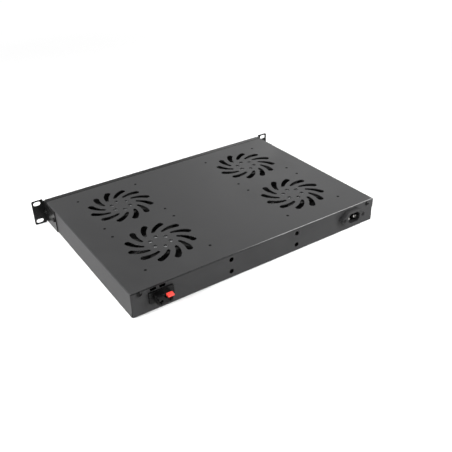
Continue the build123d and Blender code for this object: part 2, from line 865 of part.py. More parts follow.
def power_pins(margin):
    with BuildSketch() as sections:
        with Locations((inlet_x, inlet_z - pin_stagger / 2)):
            with GridLocations(pin_pitch, 1, 2, 1):
                Rectangle(pin_width + margin, pin_height + margin)
    return sections.sketch


# Inlet housing: a block with a screw ear each side and the chamfered socket
def make_inlet_housing():
    pin_slots = earth_pin(touch_gap) + power_pins(touch_gap)
    with BuildPart() as housing:
        with BuildSketch(upright(rear_y)) as outline:
            with Locations((inlet_x, inlet_z)):
                Rectangle(inlet_flat, inlet_height)
                with GridLocations(inlet_screw_pitch, 1, 2, 1):
                    Circle(inlet_ear_radius)
            make_hull()
        extrude(amount=-inlet_proud)
        with BuildSketch(upright(rear_y)):
            with Locations((inlet_x, inlet_z)):
                Rectangle(inlet_body_width, inlet_body_height)
        extrude(amount=inlet_body_depth)
        with BuildSketch(upright(inlet_face_y)) as socket:
            with Locations((inlet_x, inlet_z)):
                Rectangle(socket_width, socket_height)
            chamfer(socket.vertices().group_by(Axis.Z)[-1], socket_chamfer)
        extrude(amount=socket_depth, mode=Mode.SUBTRACT)
        with BuildSketch(upright(inlet_face_y)):
            add(pin_slots)
        extrude(amount=inlet_proud + inlet_body_depth, mode=Mode.SUBTRACT)
        with Locations(rearward(inlet_x, inlet_face_y, inlet_z)):
            with GridLocations(inlet_screw_pitch, 1, 2, 1):
                hole_radius = inlet_screw_radius + hole_gap
                CounterSinkHole(hole_radius, inlet_screw_head_radius + hole_gap, 2 * inlet_proud, 90)
    save(housing, "inlet_housing")


def make_inlet_pins():
    tail_y = rear_y - inlet_body_depth - pin_tail
    with BuildPart() as pins:
        for section, setback in ((earth_pin(0), earth_pin_setback), (power_pins(0), power_pin_setback)):
            with BuildSketch(upright(inlet_face_y - setback)):
                add(section)
            extrude(amount=inlet_face_y - setback - tail_y)
    save(pins, "inlet_pins")


# Countersunk screws through the housing and the wall, with a nut on each
def make_inlet_fixings():
    screw_places = [(inlet_x - inlet_screw_pitch / 2, inlet_z), (inlet_x + inlet_screw_pitch / 2, inlet_z)]
    head_depth = inlet_screw_head_radius - inlet_screw_radius
    screw_end = inlet_proud + sheet + inlet_nut_height + inlet_screw_end
    with BuildPart() as screws:
        for screw_x, screw_z in screw_places:
            profile_plane = Plane((screw_x, inlet_face_y, screw_z), x_dir=(1, 0, 0), z_dir=(0, 0, 1))
            with BuildSketch(profile_plane):
                with BuildLine():
                    Polyline(
                        (0, 0),
                        (inlet_screw_head_radius, 0),
                        (inlet_screw_radius, -head_depth),
                        (inlet_screw_radius, -screw_end),
                        (0, -screw_end),
                        close=True,
                    )
                make_face()
            revolve(axis=Axis((screw_x, inlet_face_y, screw_z), (0, 1, 0)))
    save(screws, "inlet_screws")
    with BuildPart() as nuts:
        with BuildSketch(upright(rear_inner_y)):
            with Locations(*screw_places):
                RegularPolygon(inlet_nut_radius, 6)
                Circle(inlet_screw_radius + fit_gap, mode=Mode.SUBTRACT)
        extrude(amount=inlet_nut_height)
    save(nuts, "inlet_nuts")


# Switch body: bezel on the front panel and a box behind it with the rocker's pocket
def make_switch_body():
    body_width_in = bezel_width - 2 * bezel_rim
    body_height_in = bezel_height - 2 * bezel_rim
    pocket_width = rocker_width + 2 * rocker_gap
    pocket_height = 2 * (rocker_radius + rocker_gap)
    with BuildPart() as body:
        with BuildSketch(upright(front_y - bezel_depth)):
            with Locations((switch_x, 0)):
                RectangleRounded(bezel_width, bezel_height, bezel_rim)
        extrude(amount=-bezel_depth)
        with BuildSketch(upright(front_y)):
            with Locations((switch_x, 0)):
                Rectangle(body_width_in, body_height_in)
        extrude(amount=-switch_depth)
        with BuildSketch(upright(front_y - bezel_depth)):
            with Locations((switch_x, 0)):
                Rectangle(pocket_width, pocket_height)
        extrude(amount=-rocker_pocket, mode=Mode.SUBTRACT)
        with BuildSketch(side_on(switch_x)):
            with Locations((rocker_pivot_y, 0)):
                Circle(rocker_pivot_radius + fit_gap)
        extrude(amount=rocker_width / 2 + rocker_stub, both=True, mode=Mode.SUBTRACT)
    save(body, "switch_body")


# Rocker: round ends about its pivot, a shallow V outside and a foot inside, resting tilted
def make_switch_rocker():
    stub_reach = rocker_width / 2 + rocker_stub - fit_gap
    tip = (rocker_radius**2 - rocker_edge**2) ** 0.5
    heel = (rocker_radius**2 - rocker_heel**2) ** 0.5
    with BuildPart() as rocker:
        with BuildSketch(side_on(switch_x, rocker_pivot_y, tilt=rocker_tilt)):
            with BuildLine():
                Polyline((-rocker_edge, tip), (-rocker_valley, 0), (-rocker_edge, -tip))
                ThreePointArc((-rocker_edge, -tip), (0, -rocker_radius), (rocker_heel, -heel))
                Polyline(
                    (rocker_heel, -heel),
                    (rocker_foot, -rocker_foot_width / 2),
                    (rocker_foot, rocker_foot_width / 2),
                    (rocker_heel, heel),
                )
                ThreePointArc((rocker_heel, heel), (0, rocker_radius), (-rocker_edge, tip))
            make_face()
        extrude(amount=rocker_width / 2, both=True)
        with BuildSketch(side_on(switch_x, rocker_pivot_y)):
            Circle(rocker_pivot_radius)
        extrude(amount=stub_reach, both=True)
    save(rocker, "switch_rocker")


def make_switch_terminals():
    with BuildPart() as tabs:
        with BuildSketch(upright(front_y + switch_depth)):
            with Locations((switch_x, 0)):
                with GridLocations(1, switch_tab_pitch, 1, 2):
                    Rectangle(switch_tab_width, switch_tab_sheet)
        extrude(amount=-switch_tab_length)
    save(tabs, "switch_terminals")


def key_places():
    return [(key_x, -key_pitch), (key_x, 0), (key_x, key_pitch)]


# Thermostat body: a box open at the rear, with a face flange, window seat, key holes and posts
def make_thermostat_body():
    with BuildPart() as body:
        with BuildSketch(upright(front_y)):
            Rectangle(module_body_width, module_body_height)
        extrude(amount=-module_depth)
        with BuildSketch(upright(module_front_y)):
            RectangleRounded(module_width, module_height, module_corner)
        extrude(amount=-module_flange)
        with BuildSketch(upright(module_inner_y)):
            Rectangle(module_body_width - 2 * module_wall, module_body_height - 2 * module_wall)
        extrude(amount=module_inner_y - module_rear_y, mode=Mode.SUBTRACT)
        with BuildSketch(upright(module_front_y)):
            with Locations((window_x, 0)):
                Rectangle(window_width + 2 * window_rim, window_height + 2 * window_rim)
        extrude(amount=-window_inset - window_sheet, mode=Mode.SUBTRACT)
        with BuildSketch(upright(module_front_y)):
            with Locations((window_x, 0)):
                Rectangle(window_width, window_height)
            with Locations(*key_places()):
                Circle(key_radius + key_gap)
        extrude(amount=-module_face, mode=Mode.SUBTRACT)
        with BuildSketch(upright(board_y)):
            post_pitch_x = module_body_width - 2 * module_wall - 2 * post_inset
            post_pitch_z = module_body_height - 2 * module_wall - 2 * post_inset
            with GridLocations(post_pitch_x, post_pitch_z, 2, 2):
                Circle(post_radius)
        extrude(amount=board_y - module_inner_y)
    save(body, "thermostat_body")


def make_thermostat_back():
    with BuildPart() as back:
        with BuildSketch(upright(module_rear_y)):
            Rectangle(module_body_width, module_body_height)
        extrude(amount=-module_wall)
        with BuildSketch(upright(module_rear_y)):
            inner_width = module_body_width - 2 * module_wall - 2 * touch_gap
            inner_height = module_body_height - 2 * module_wall - 2 * touch_gap
            Rectangle(inner_width, inner_height)
        extrude(amount=module_wall)
    save(back, "thermostat_back")


def make_thermostat_window():
    with BuildPart() as window:
        with BuildSketch(upright(module_front_y + window_inset)):
            with Locations((window_x, 0)):
                pane_margin = 2 * window_rim - 2 * touch_gap
                Rectangle(window_width + pane_margin, window_height + pane_margin)
        extrude(amount=-window_sheet)
    save(window, "thermostat_window")


def make_thermostat_display():
    display_y = module_front_y + window_inset + window_sheet + touch_gap
    with BuildPart() as display:
        with BuildSketch(upright(display_y)):
            with Locations((window_x, 0)):
                Rectangle(window_width - 2 * display_gap, window_height - 2 * display_gap)
        extrude(amount=display_y - board_y)
    save(display, "thermostat_display")


def make_thermostat_board():
    with BuildPart() as board:
        with BuildSketch(upright(board_y)):
            board_width = module_body_width - 2 * module_wall - 2 * seam
            board_height = module_body_height - 2 * module_wall - 2 * seam
            Rectangle(board_width, board_height)
        extrude(amount=-board_sheet)
    save(board, "thermostat_board")


# Keys: a cap through the face, a collar that keeps it in, and a stem down to its switch
def make_thermostat_keys():
    collar_y = module_inner_y + touch_gap
    for number, place in enumerate(key_places(), start=1):
        with BuildPart() as key:
            with BuildSketch(upright(module_front_y - key_proud)):
                with Locations(place):
                    Circle(key_radius)
            extrude(amount=module_front_y - key_proud - collar_y)
            chamfer(key.edges().sort_by(Axis.Y)[0], key_gap)
            with BuildSketch(upright(collar_y)):
                with Locations(place):
                    Circle(key_radius + key_collar_width)
            extrude(amount=-key_collar)
            with BuildSketch(upright(collar_y + key_collar)):
                with Locations(place):
                    Circle(key_stem_radius)
            extrude(amount=-key_stem)
        save(key, f"thermostat_key_{number}")


def make_key_switches():
    with BuildPart() as switches:
        with BuildSketch(upright(key_switch_y)):
            with Locations(*key_places()):
                Rectangle(key_switch_size, key_switch_size)
        extrude(amount=-key_switch_height)
    save(switches, "thermostat_key_switches")


# Clips: a block each side that holds the thermostat's body against the front panel
def make_thermostat_clips():
    with BuildPart() as clips:
        with BuildSketch(upright(front_y + panel_sheet)):
            with GridLocations(module_body_width + clip_thickness, 1, 2, 1):
                Rectangle(clip_thickness, clip_height)
        extrude(amount=-clip_length)
    save(clips, "thermostat_clips")


def make_thermostat_connector():
    with BuildPart() as connector:
        with BuildSketch(upright(module_rear_y + module_wall + connector_depth)):
            Rectangle(connector_width, connector_height)
        extrude(amount=connector_depth)
        with BuildSketch(upright(module_rear_y + module_wall + connector_depth)):
            with GridLocations(connector_width / connector_ways, 1, connector_ways, 1):
                Circle(connector_way_radius)
        extrude(amount=connector_way_depth, mode=Mode.SUBTRACT)
    save(connector, "thermostat_connector")


make_top_cover()
make_base_pan()
make_front_panel()
make_ear(-1, "ear_left")
make_ear(1, "ear_right")
make_case_screws()
make_fan_screws()
make_fan_frames()
make_fan_labels()
make_fan_bearings()
make_fan_stators()
make_fan_shafts()
make_fan_rotors()
make_terminal_body()
make_lever(0, "terminal_lever_red")
make_lever(1, "terminal_lever_black")
make_terminal_contacts()
make_inlet_housing()
make_inlet_pins()
make_inlet_fixings()
make_switch_body()
make_switch_rocker()
make_switch_terminals()
make_thermostat_body()
make_thermostat_back()
make_thermostat_window()
make_thermostat_display()
make_thermostat_board()
make_thermostat_keys()
make_key_switches()
make_thermostat_clips()
make_thermostat_connector()
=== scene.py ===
import json
import math

import bpy
from mathutils import Matrix, Vector


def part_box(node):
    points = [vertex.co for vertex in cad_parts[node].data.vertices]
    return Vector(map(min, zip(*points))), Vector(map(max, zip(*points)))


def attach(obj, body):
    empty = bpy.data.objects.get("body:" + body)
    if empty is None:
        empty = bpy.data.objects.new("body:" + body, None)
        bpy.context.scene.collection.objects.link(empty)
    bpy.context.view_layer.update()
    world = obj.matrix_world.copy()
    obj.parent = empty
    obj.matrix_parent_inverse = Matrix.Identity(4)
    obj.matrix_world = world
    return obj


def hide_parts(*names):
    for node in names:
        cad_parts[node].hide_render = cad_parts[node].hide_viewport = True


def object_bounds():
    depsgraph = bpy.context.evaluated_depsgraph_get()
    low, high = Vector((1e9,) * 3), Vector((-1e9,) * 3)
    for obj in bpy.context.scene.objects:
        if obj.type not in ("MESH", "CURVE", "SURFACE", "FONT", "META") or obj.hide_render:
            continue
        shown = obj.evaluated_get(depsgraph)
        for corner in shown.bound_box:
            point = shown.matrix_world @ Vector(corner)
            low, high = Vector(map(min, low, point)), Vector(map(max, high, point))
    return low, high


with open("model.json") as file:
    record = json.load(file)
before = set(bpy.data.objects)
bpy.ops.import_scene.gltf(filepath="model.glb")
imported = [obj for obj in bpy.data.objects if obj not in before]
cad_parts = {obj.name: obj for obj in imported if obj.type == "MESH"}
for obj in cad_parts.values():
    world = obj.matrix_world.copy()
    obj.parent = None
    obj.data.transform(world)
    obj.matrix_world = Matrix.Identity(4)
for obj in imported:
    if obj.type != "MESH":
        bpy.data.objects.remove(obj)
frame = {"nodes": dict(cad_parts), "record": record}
nodes = frame["nodes"]
cadLow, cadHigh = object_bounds()
bpy.ops.object.select_all(action="DESELECT")
print("frame loaded with", len(nodes), "pieces")

mm = 0.001

# Camera: it looks down over the rear wall and the terminal's corner, as the photograph does
cameraView = {
    "azimuth": 146.884,
    "elevation": 31.229,
    "roll": -1.638,
    "place": (458.8, 916.5, 503.61),
    "lens": 48.94,
    "sensor": 36,
    "clipStart": 0.01,
}


def makeCamera():
    azimuth = math.radians(cameraView["azimuth"])
    elevation = math.radians(cameraView["elevation"])
    roll = math.radians(cameraView["roll"])
    back = Vector((
        math.sin(azimuth) * math.cos(elevation),
        -math.cos(azimuth) * math.cos(elevation),
        math.sin(elevation),
    ))
    right = Vector((0, 0, 1)).cross(back).normalized()
    up = back.cross(right)
    rolledRight = right * math.cos(roll) + up * math.sin(roll)
    rolledUp = up * math.cos(roll) - right * math.sin(roll)
    place = Vector(cameraView["place"]) * mm
    turn = Matrix((rolledRight, rolledUp, back)).transposed().to_4x4()
    bpy.ops.object.camera_add()
    camera = bpy.context.object
    camera.name = "viewCamera"
    camera.matrix_world = Matrix.Translation(place) @ turn
    camera.data.lens = cameraView["lens"]
    camera.data.sensor_width = cameraView["sensor"]
    camera.data.clip_start = cameraView["clipStart"]
    bpy.context.scene.camera = camera


makeCamera()
print("camera placed")


# Node helpers: a value goes into a socket as it is, and another socket is linked to it
def feed(tree, value, socket):
    if isinstance(value, bpy.types.NodeSocket):
        tree.links.new(value, socket)
    else:
        socket.default_value = value


def addMath(tree, operation, *values):
    node = tree.nodes.new("ShaderNodeMath")
    node.operation = operation
    for value, socket in zip(values, node.inputs):
        feed(tree, value, socket)
    return node.outputs[0]


def addVectorMath(tree, operation, *values):
    node = tree.nodes.new("ShaderNodeVectorMath")
    node.operation = operation
    for value, socket in zip(values, node.inputs):
        feed(tree, value, socket)
    return node.outputs["Value" if operation == "LENGTH" else "Vector"]


def mixShaders(tree, share, first, second, output):
    mix = tree.nodes.new("ShaderNodeMixShader")
    tree.links.new(share, mix.inputs["Fac"])
    tree.links.new(first.outputs[0], mix.inputs[1])
    tree.links.new(second.outputs[0], mix.inputs[2])
    tree.links.new(mix.outputs[0], output.inputs["Surface"])


# Light: a white studio with soft boxes over and beside the tray
studio = {
    "floorSize": 12,
    "floorDrop": 0.1,
    "ambient": 0.48,
    "white": 1.03,
    "aim": (0, 0.16, 0),
    "floorColour": (0.95, 0.95, 0.95),
    "floorDarkReach": 0.35,
    "floorWhiteReach": 1.4,
    "floorMirrored": 0.9,
    "lamps": (
        {"name": "cornerBox", "place": (-1.25, -1.0, 0.6), "size": 1.0, "power": 4.3},
        {"name": "leftBox", "place": (0.9, -0.2, 1.1), "size": 1.0, "power": 10.3},
        {"name": "rearBox", "place": (-0.6, 0.85, 0.3), "size": 0.45, "power": 11.5},
        {"name": "sideBox", "place": (1.4, 0.3, 0.3), "size": 0.8, "power": 46},
        {"name": "edgeBox", "place": (-0.75, 0.95, 0.9), "size": 0.35, "power": 6},
    ),
}


def addBackground(tree, strength):
    background = tree.nodes.new("ShaderNodeBackground")
    background.inputs["Color"].default_value = (1, 1, 1, 1)
    background.inputs["Strength"].default_value = strength
    return background


# The backdrop is white to the camera, through glass and in reflections, and dimmer as a light
def makeWorld():
    world = bpy.data.worlds.new("studioWorld")
    bpy.context.scene.world = world
    world.use_nodes = True
    tree = world.node_tree
    tree.nodes.clear()
    output = tree.nodes.new("ShaderNodeOutputWorld")
    ambient = addBackground(tree, studio["ambient"])
    backdrop = addBackground(tree, studio["white"])
    path = tree.nodes.new("ShaderNodeLightPath").outputs
    direct = addMath(tree, "MAXIMUM", path["Is Camera Ray"], path["Is Transmission Ray"])
    seen = addMath(tree, "MAXIMUM", direct, path["Is Glossy Ray"])
    mixShaders(tree, seen, ambient, backdrop, output)


# The floor takes the tray's shadow near it and fades to the backdrop's white further out
def makeFloor():
    drop = studio["floorDrop"] * mm
    bpy.ops.mesh.primitive_plane_add(size=studio["floorSize"], location=(0, 0, cadLow.z - drop))
    floor = bpy.context.object
    floor.name = "studioFloor"
    material = bpy.data.materials.new("floorWhite")
    material.use_nodes = True
    tree = material.node_tree
    tree.nodes.clear()
    output = tree.nodes.new("ShaderNodeOutputMaterial")
    diffuse = tree.nodes.new("ShaderNodeBsdfDiffuse")
    diffuse.inputs["Color"].default_value = (*studio["floorColour"], 1)
    glow = tree.nodes.new("ShaderNodeEmission")
    glow.inputs["Color"].default_value = (1, 1, 1, 1)
    glow.inputs["Strength"].default_value = studio["white"]
    path = tree.nodes.new("ShaderNodeLightPath").outputs
    place = tree.nodes.new("ShaderNodeTexCoord")
    fade = tree.nodes.new("ShaderNodeMapRange")
    fade.inputs["From Min"].default_value = studio["floorDarkReach"]
    fade.inputs["From Max"].default_value = studio["floorWhiteReach"]
    tree.links.new(addVectorMath(tree, "LENGTH", place.outputs["Object"]), fade.inputs["Value"])
    seen = addMath(tree, "MULTIPLY", path["Is Camera Ray"], fade.outputs["Result"])
    share = addMath(tree, "MULTIPLY_ADD", path["Is Glossy Ray"], studio["floorMirrored"], seen)
    mixShaders(tree, share, diffuse, glow, output)
    floor.data.materials.append(material)


def makeLamps():
    target = Vector(studio["aim"])
    for lamp in studio["lamps"]:
        bpy.ops.object.light_add(type="AREA", location=lamp["place"])
        light = bpy.context.object
        light.name = lamp["name"]
        light.data.size = lamp["size"]
        light.data.energy = lamp["power"]
        aim = target - light.location
        light.rotation_euler = aim.to_track_quat("-Z", "Y").to_euler()


bpy.context.scene.view_settings.view_transform = "Standard"
makeWorld()
makeFloor()
makeLamps()
print("studio lit")


# Materials: each finish reads Object coordinates, so it holds still as pieces move
noiseSpans = {"colour": (0.35, 0.65), "roughness": (0.3, 0.7)}
plainSheen = 0.5


def startMaterial(name, finish):
    material = bpy.data.materials.new(name)
    material.use_nodes = True
    shader = material.node_tree.nodes["Principled BSDF"]
    shader.inputs["Base Color"].default_value = (*finish["dark"], 1)
    shader.inputs["Roughness"].default_value = finish["roughness"][0]
    shader.inputs["Metallic"].default_value = finish.get("metal", 0.0)
    shader.inputs["Specular IOR Level"].default_value = finish.get("sheen", plainSheen)
    return material, material.node_tree, shader


def addNoise(tree, scale, detail, stretch=(1, 1, 1)):
    place = tree.nodes.new("ShaderNodeTexCoord")
    mapping = tree.nodes.new("ShaderNodeMapping")
    mapping.inputs["Scale"].default_value = stretch
    noise = tree.nodes.new("ShaderNodeTexNoise")
    noise.inputs["Scale"].default_value = scale
    noise.inputs["Detail"].default_value = detail
    tree.links.new(place.outputs["Object"], mapping.inputs["Vector"])
    tree.links.new(mapping.outputs["Vector"], noise.inputs["Vector"])
    return noise.outputs["Fac"]


def blendColours(tree, shader, factor, finish):
    ramp = tree.nodes.new("ShaderNodeValToRGB")
    shades = (finish["dark"], finish["pale"])
    for stop, position, shade in zip(ramp.color_ramp.elements, noiseSpans["colour"], shades):
        stop.position = position
        stop.color = (*shade, 1)
    tree.links.new(factor, ramp.inputs["Fac"])
    tree.links.new(ramp.outputs["Color"], shader.inputs["Base Color"])


def addSpan(tree, value, low, high):
    span = tree.nodes.new("ShaderNodeMapRange")
    span.inputs["From Min"].default_value = low
    span.inputs["From Max"].default_value = high
    tree.links.new(value, span.inputs["Value"])
    return span


def spreadRoughness(tree, shader, factor, finish):
    span = addSpan(tree, factor, *noiseSpans["roughness"])
    span.inputs["To Min"].default_value, span.inputs["To Max"].default_value = finish["roughness"]
    tree.links.new(span.outputs["Result"], shader.inputs["Roughness"])


# The bevel node rounds the look of edges that stay sharp in the mesh
def addBump(tree, shader, height, grain):
    bump = tree.nodes.new("ShaderNodeBump")
    bump.inputs["Strength"].default_value = grain["bump"]
    bump.inputs["Distance"].default_value = grain["bumpDepth"] * mm
    tree.links.new(height, bump.inputs["Height"])
    bevel = tree.nodes.new("ShaderNodeBevel")
    bevel.samples = 6
    bevel.inputs["Radius"].default_value = grain["edge"] * mm
    tree.links.new(bevel.outputs["Normal"], bump.inputs["Normal"])
    tree.links.new(bump.outputs["Normal"], shader.inputs["Normal"])


# Where the share is 1, another colour covers what the finish has
def paintOver(material, share, colour):
    tree = material.node_tree
    base = tree.nodes["Principled BSDF"].inputs["Base Color"]
    finish = base.links[0].from_socket
    colours = tree.nodes.new("ShaderNodeMix")
    colours.data_type = "RGBA"
    tree.links.new(share, colours.inputs[0])
    tree.links.new(finish, colours.inputs[6])
    colours.inputs[7].default_value = (*colour, 1)
    tree.links.new(colours.outputs[2], base)


# Paints: a textured powder coat on the case, and smoother blacks on the front and the ears
powderCoat = {
    "dark": (0.016, 0.016, 0.0165),
    "pale": (0.022, 0.022, 0.0225),
    "roughness": (0.42, 0.52),
    "grainScale": 1400,
    "cloudScale": 14,
    "bump": 0.25,
    "bumpDepth": 0.05,
    "edge": 0.5,
    "sheen": 0.21,
}

frontPaint = {
    "dark": (0.005, 0.005, 0.005),
    "pale": (0.008, 0.008, 0.008),
    "roughness": (0.24, 0.32),
    "grainScale": 900,
    "cloudScale": 20,
    "bump": 0.1,
    "bumpDepth": 0.05,
    "edge": 0.2,
    "sheen": 0.1,
}

earPaint = {
    "dark": (0.003, 0.003, 0.003),
    "pale": (0.006, 0.006, 0.006),
    "roughness": (0.22, 0.3),
    "grainScale": 900,
    "cloudScale": 30,
    "bump": 0.1,
    "bumpDepth": 0.05,
    "edge": 0.2,
    "sheen": 0.16,
}


def makePaint(name, finish):
    material, tree, shader = startMaterial(name, finish)
    clouds = addNoise(tree, finish["cloudScale"], 4)
    grain = addNoise(tree, finish["grainScale"], 2)
    blendColours(tree, shader, clouds, finish)
    spreadRoughness(tree, shader, clouds, finish)
    addBump(tree, shader, grain, finish)
    return material


# Painted highlight: the cover's rear top edge is painted pale towards the inlet's end, where that
# edge catches the light
paintedRearHighlight = {
    "colour": (0.2, 0.2, 0.2),
    "fromX": (60, -30),
    "fromY": (315.9, 316.5),
    "fromZ": (19.2, 19.6),
}


# A pale colour painted over the rear top edge stands in for the highlight that this edge catches
def addPaintedRearHighlight(material):
    tree = material.node_tree
    place = tree.nodes.new("ShaderNodeTexCoord")
    parts = tree.nodes.new("ShaderNodeSeparateXYZ")
    tree.links.new(place.outputs["Object"], parts.inputs[0])
    shares = []
    for axis in "XYZ":
        start, end = paintedRearHighlight["from" + axis]
        shares.append(addSpan(tree, parts.outputs[axis], start * mm, end * mm).outputs["Result"])
    across, behind, above = shares
    edge = addMath(tree, "MULTIPLY", behind, above)
    paintOver(material, addMath(tree, "MULTIPLY", edge, across), paintedRearHighlight["colour"])


# Mouldings: cloudy colour and a very fine grain
mouldedGrain = {
    "cloudScale": 60,
    "grainScale": 2600,
    "bump": 0.12,
    "bumpDepth": 0.03,
    "edge": 0.25,
}

moulded = {
    "fanNylon": {
        "dark": (0.003, 0.003, 0.003),
        "pale": (0.006, 0.006, 0.006),
        "roughness": (0.45, 0.55),
        "sheen": 0.1,
    },
    "glossBlack": {
        "dark": (0.002, 0.002, 0.002),
        "pale": (0.004, 0.004, 0.004),
        "roughness": (0.22, 0.32),
        "sheen": 0.16,
    },
    "signalRed": {
        "dark": (0.62, 0.035, 0.025),
        "pale": (0.72, 0.05, 0.035),
        "roughness": (0.22, 0.3),
    },
    "inletNylon": {
        "dark": (0.012, 0.012, 0.0125),
        "pale": (0.017, 0.017, 0.0175),
        "roughness": (0.36, 0.46),
        "sheen": 0.2,
    },
    "moduleBlack": {
        "dark": (0.012, 0.012, 0.012),
        "pale": (0.018, 0.018, 0.018),
        "roughness": (0.45, 0.55),
    },
    "keyRubber": {
        "dark": (0.05, 0.05, 0.05),
        "pale": (0.065, 0.065, 0.065),
        "roughness": (0.7, 0.8),
    },
    "connectorGreen": {
        "dark": (0.03, 0.2, 0.06),
        "pale": (0.04, 0.25, 0.08),
        "roughness": (0.35, 0.45),
    },
    "boardGreen": {
        "dark": (0.01, 0.08, 0.03),
        "pale": (0.015, 0.1, 0.035),
        "roughness": (0.3, 0.4),
    },
}


def makeMoulded(name, finish):
    material, tree, shader = startMaterial(name, finish)
    clouds = addNoise(tree, mouldedGrain["cloudScale"], 3)
    grain = addNoise(tree, mouldedGrain["grainScale"], 2)
    blendColours(tree, shader, clouds, finish)
    spreadRoughness(tree, shader, clouds, finish)
    addBump(tree, shader, grain, mouldedGrain)
    return material


# Metals and coated screws: streaks that run across the piece
metalStreaks = {"scale": 120, "stretch": (1, 8, 1), "bump": 0.05, "bumpDepth": 0.02, "edge": 0.2}

metals = {
    "blackOxide": {
        "dark": (0.002, 0.002, 0.002),
        "pale": (0.005, 0.005, 0.005),
        "roughness": (0.25, 0.35),
        "sheen": 0.14,
    },
    "screwTip": {
        "dark": (0.002, 0.002, 0.002),
        "pale": (0.005, 0.005, 0.005),
        "roughness": (0.7, 0.85),
        "sheen": 0.05,
    },
    "zincPlate": {
        "dark": (0.5, 0.5, 0.48),
        "pale": (0.66, 0.66, 0.64),
        "roughness": (0.28, 0.4),
        "metal": 1.0,
    },
    "nickelPin": {
        "dark": (0.42, 0.415, 0.4),
        "pale": (0.5, 0.49, 0.475),
        "roughness": (0.16, 0.24),
        "metal": 1.0,
    },
    "labelFoil": {
        "dark": (0.58, 0.59, 0.6),
        "pale": (0.7, 0.71, 0.72),
        "roughness": (0.14, 0.42),
        "metal": 0.85,
    },
    "groundSteel": {
        "dark": (0.5, 0.5, 0.5),
        "pale": (0.62, 0.62, 0.62),
        "roughness": (0.2, 0.3),
        "metal": 1.0,
    },
    "coreVarnish": {
        "dark": (0.12, 0.07, 0.05),
        "pale": (0.2, 0.12, 0.08),
        "roughness": (0.35, 0.5),
        "metal": 0.4,
    },
}


def makeMetal(name, finish):
    material, tree, shader = startMaterial(name, finish)
    streaks = addNoise(tree, metalStreaks["scale"], 3, metalStreaks["stretch"])
    blendColours(tree, shader, streaks, finish)
    spreadRoughness(tree, shader, streaks, finish)
    addBump(tree, shader, streaks, metalStreaks)
    return material


# The label is coloured dark beyond a set radius, measured from each fan's centre.
# The four fans stand either side of the middle, in two rows
labelOuterDark = {
    "darkFromRadius": 21.5,
    "colour": (0.004, 0.004, 0.004),
    "fanX": 124.15,
    "fanY": 66.65,
    "middleY": 160.15,
}


def addLabelOuterDark(material):
    tree = material.node_tree
    place = tree.nodes.new("ShaderNodeTexCoord").outputs["Object"]
    middle = (0, labelOuterDark["middleY"] * mm, 0)
    fan = (labelOuterDark["fanX"] * mm, labelOuterDark["fanY"] * mm, 0)
    folded = addVectorMath(tree, "ABSOLUTE", addVectorMath(tree, "SUBTRACT", place, middle))
    offset = addVectorMath(tree, "SUBTRACT", folded, fan)
    flat = addVectorMath(tree, "MULTIPLY", offset, (1, 1, 0))
    reach = addVectorMath(tree, "LENGTH", flat)
    beyond = addMath(tree, "GREATER_THAN", reach, labelOuterDark["darkFromRadius"] * mm)
    paintOver(material, beyond, labelOuterDark["colour"])


smokedPane = {
    "dark": (0.05, 0.006, 0.006),
    "roughness": (0.04, 0.09),
    "ior": 1.49,
    "coat": 0.5,
    "smearScale": 90,
}


def makeSmokedPane():
    material, tree, shader = startMaterial("smokedPane", smokedPane)
    shader.inputs["IOR"].default_value = smokedPane["ior"]
    shader.inputs["Coat Weight"].default_value = smokedPane["coat"]
    spreadRoughness(tree, shader, addNoise(tree, smokedPane["smearScale"], 4), smokedPane)
    return material


finishes = {
    "coverCoat": makePaint("coverCoat", powderCoat),
    "powderCoat": makePaint("powderCoat", powderCoat),
    "frontPaint": makePaint("frontPaint", frontPaint),
    "earPaint": makePaint("earPaint", earPaint),
    "smokedPane": makeSmokedPane(),
}
for name, finish in moulded.items():
    finishes[name] = makeMoulded(name, finish)
for name, finish in metals.items():
    finishes[name] = makeMetal(name, finish)
# The fans' labels turn dark beyond a set radius from each fan's centre
addLabelOuterDark(finishes["labelFoil"])
# The cover gets its painted highlight along the rear top edge
addPaintedRearHighlight(finishes["coverCoat"])

# The longest start that fits a node's name gives its finish
nodeFinishes = {
    "top_cover": "coverCoat",
    "base_pan": "powderCoat",
    "front_panel": "frontPaint",
    "ear_": "earPaint",
    "ear_screws_": "blackOxide",
    "rear_cover_screws": "blackOxide",
    "fan_screws": "screwTip",
    "fan_frame_": "fanNylon",
    "fan_rotor_": "fanNylon",
    "fan_label_": "labelFoil",
    "fan_bearings_": "groundSteel",
    "fan_shaft_": "groundSteel",
    "fan_stator_": "coreVarnish",
    "terminal_body": "glossBlack",
    "terminal_lever_black": "glossBlack",
    "terminal_lever_red": "signalRed",
    "terminal_contacts": "nickelPin",
    "inlet_housing": "inletNylon",
    "inlet_pins": "nickelPin",
    "inlet_screws": "blackOxide",
    "inlet_nuts": "zincPlate",
    "switch_": "glossBlack",
    "switch_terminals": "nickelPin",
    "thermostat_": "moduleBlack",
    "thermostat_window": "smokedPane",
    "thermostat_display": "glossBlack",
    "thermostat_board": "boardGreen",
    "thermostat_key_": "keyRubber",
    "thermostat_key_switches": "glossBlack",
    "thermostat_connector": "connectorGreen",
}


def finishFor(nodeName):
    starts = [start for start in nodeFinishes if nodeName.startswith(start)]
    return finishes[nodeFinishes[max(starts, key=len)]]


for nodeName, piece in nodes.items():
    piece.data.materials.clear()
    piece.data.materials.append(finishFor(nodeName))
print("materials on", len(nodes), "pieces")


# Modelling helpers: faces are selected in code by their normals
def onlySelect(piece):
    bpy.ops.object.select_all(action="DESELECT")
    piece.select_set(True)
    bpy.context.view_layer.objects.active = piece


def enterEdit(piece, action):
    onlySelect(piece)
    bpy.ops.object.mode_set(mode="EDIT")
    bpy.ops.mesh.select_all(action=action)


def leaveEdit():
    bpy.ops.object.mode_set(mode="OBJECT")


